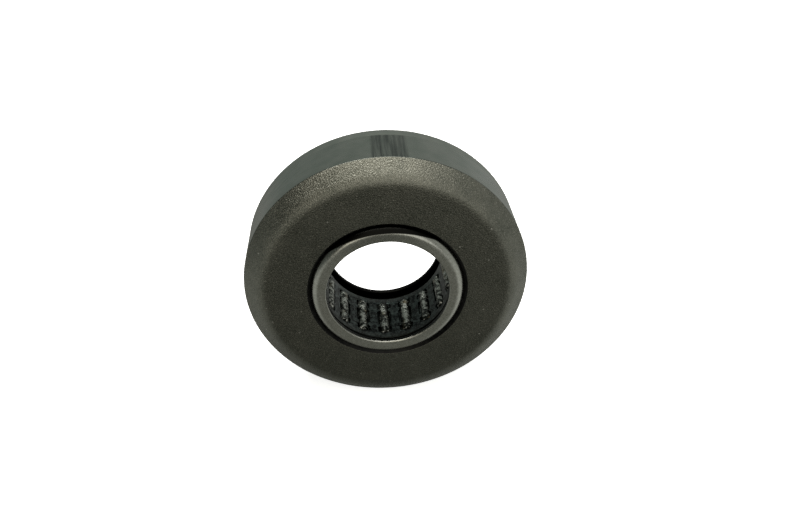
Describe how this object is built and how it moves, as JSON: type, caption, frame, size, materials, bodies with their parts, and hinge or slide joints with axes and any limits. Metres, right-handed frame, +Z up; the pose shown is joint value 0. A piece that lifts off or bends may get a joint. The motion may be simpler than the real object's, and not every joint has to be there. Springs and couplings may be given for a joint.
{
  "type": "cam follower",
  "caption": "Yoke-type cam follower: a thick chamfered steel roller that turns on a pressed-in drawn-cup caged needle bearing, open at both ends, for a plain shaft.",
  "frame": {"origin": "centre of the roller, on its axis and midway between the side faces", "axes": "+Y along the roller's axis, from the front face to the back face; +Z up; +X to the right; the first needle is at the bottom"},
  "size_m": [0.052, 0.0166, 0.052],
  "materials": {
    "roller_steel": "through-hardened steel, fine blasted side faces and chamfers, ground tread",
    "cup_steel": "case-hardened sheet steel, satin",
    "cage_steel": "dark oiled sheet steel",
    "needle_steel": "ground and lapped bearing steel under a film of grease"
  },
  "bodies": {
    "roller": {"outer_roller": "roller_steel", "bearing_cup": "cup_steel"},
    "cage": {"needle_cage": "cage_steel"},
    "needle_01": {"needle_01": "needle_steel"},
    "needle_02": {"needle_02": "needle_steel"},
    "needle_03": {"needle_03": "needle_steel"},
    "needle_04": {"needle_04": "needle_steel"},
    "needle_05": {"needle_05": "needle_steel"},
    "needle_06": {"needle_06": "needle_steel"},
    "needle_07": {"needle_07": "needle_steel"},
    "needle_08": {"needle_08": "needle_steel"},
    "needle_09": {"needle_09": "needle_steel"},
    "needle_10": {"needle_10": "needle_steel"},
    "needle_11": {"needle_11": "needle_steel"},
    "needle_12": {"needle_12": "needle_steel"},
    "needle_13": {"needle_13": "needle_steel"},
    "needle_14": {"needle_14": "needle_steel"},
    "needle_15": {"needle_15": "needle_steel"},
    "needle_16": {"needle_16": "needle_steel"},
    "needle_17": {"needle_17": "needle_steel"}
  },
  "joints": [
    {"name": "cage_spin", "type": "hinge", "parent": "roller", "child": "cage", "pos_m": [0, -0.00065, 0], "axis": [0, 1, 0], "continuous": true},
    {"name": "needle_01_roll", "type": "hinge", "parent": "cage", "child": "needle_01", "pos_m": [0, -0.00065, -0.01199], "axis": [0, 1, 0], "continuous": true},
    {"name": "needle_02_roll", "type": "hinge", "parent": "cage", "child": "needle_02", "pos_m": [0.00433, -0.00065, -0.01118], "axis": [0, 1, 0], "continuous": true},
    {"name": "needle_03_roll", "type": "hinge", "parent": "cage", "child": "needle_03", "pos_m": [0.00808, -0.00065, -0.00886], "axis": [0, 1, 0], "continuous": true},
    {"name": "needle_04_roll", "type": "hinge", "parent": "cage", "child": "needle_04", "pos_m": [0.01073, -0.00065, -0.00534], "axis": [0, 1, 0], "continuous": true},
    {"name": "needle_05_roll", "type": "hinge", "parent": "cage", "child": "needle_05", "pos_m": [0.01194, -0.00065, -0.00111], "axis": [0, 1, 0], "continuous": true},
    {"name": "needle_06_roll", "type": "hinge", "parent": "cage", "child": "needle_06", "pos_m": [0.01153, -0.00065, 0.00328], "axis": [0, 1, 0], "continuous": true},
    {"name": "needle_07_roll", "type": "hinge", "parent": "cage", "child": "needle_07", "pos_m": [0.00957, -0.00065, 0.00723], "axis": [0, 1, 0], "continuous": true},
    {"name": "needle_08_roll", "type": "hinge", "parent": "cage", "child": "needle_08", "pos_m": [0.00631, -0.00065, 0.01019], "axis": [0, 1, 0], "continuous": true},
    {"name": "needle_09_roll", "type": "hinge", "parent": "cage", "child": "needle_09", "pos_m": [0.0022, -0.00065, 0.01179], "axis": [0, 1, 0], "continuous": true},
    {"name": "needle_10_roll", "type": "hinge", "parent": "cage", "child": "needle_10", "pos_m": [-0.0022, -0.00065, 0.01179], "axis": [0, 1, 0], "continuous": true},
    {"name": "needle_11_roll", "type": "hinge", "parent": "cage", "child": "needle_11", "pos_m": [-0.00631, -0.00065, 0.01019], "axis": [0, 1, 0], "continuous": true},
    {"name": "needle_12_roll", "type": "hinge", "parent": "cage", "child": "needle_12", "pos_m": [-0.00957, -0.00065, 0.00723], "axis": [0, 1, 0], "continuous": true},
    {"name": "needle_13_roll", "type": "hinge", "parent": "cage", "child": "needle_13", "pos_m": [-0.01153, -0.00065, 0.00328], "axis": [0, 1, 0], "continuous": true},
    {"name": "needle_14_roll", "type": "hinge", "parent": "cage", "child": "needle_14", "pos_m": [-0.01194, -0.00065, -0.00111], "axis": [0, 1, 0], "continuous": true},
    {"name": "needle_15_roll", "type": "hinge", "parent": "cage", "child": "needle_15", "pos_m": [-0.01073, -0.00065, -0.00534], "axis": [0, 1, 0], "continuous": true},
    {"name": "needle_16_roll", "type": "hinge", "parent": "cage", "child": "needle_16", "pos_m": [-0.00808, -0.00065, -0.00886], "axis": [0, 1, 0], "continuous": true},
    {"name": "needle_17_roll", "type": "hinge", "parent": "cage", "child": "needle_17", "pos_m": [-0.00433, -0.00065, -0.01118], "axis": [0, 1, 0], "continuous": true}
  ],
  "couplings": [
    {"joint": "needle_01_roll", "follows": "cage_spin", "ratio": -13.131},
    {"joint": "needle_02_roll", "follows": "cage_spin", "ratio": -13.131},
    {"joint": "needle_03_roll", "follows": "cage_spin", "ratio": -13.131},
    {"joint": "needle_04_roll", "follows": "cage_spin", "ratio": -13.131},
    {"joint": "needle_05_roll", "follows": "cage_spin", "ratio": -13.131},
    {"joint": "needle_06_roll", "follows": "cage_spin", "ratio": -13.131},
    {"joint": "needle_07_roll", "follows": "cage_spin", "ratio": -13.131},
    {"joint": "needle_08_roll", "follows": "cage_spin", "ratio": -13.131},
    {"joint": "needle_09_roll", "follows": "cage_spin", "ratio": -13.131},
    {"joint": "needle_10_roll", "follows": "cage_spin", "ratio": -13.131},
    {"joint": "needle_11_roll", "follows": "cage_spin", "ratio": -13.131},
    {"joint": "needle_12_roll", "follows": "cage_spin", "ratio": -13.131},
    {"joint": "needle_13_roll", "follows": "cage_spin", "ratio": -13.131},
    {"joint": "needle_14_roll", "follows": "cage_spin", "ratio": -13.131},
    {"joint": "needle_15_roll", "follows": "cage_spin", "ratio": -13.131},
    {"joint": "needle_16_roll", "follows": "cage_spin", "ratio": -13.131},
    {"joint": "needle_17_roll", "follows": "cage_spin", "ratio": -13.131}
  ]
}
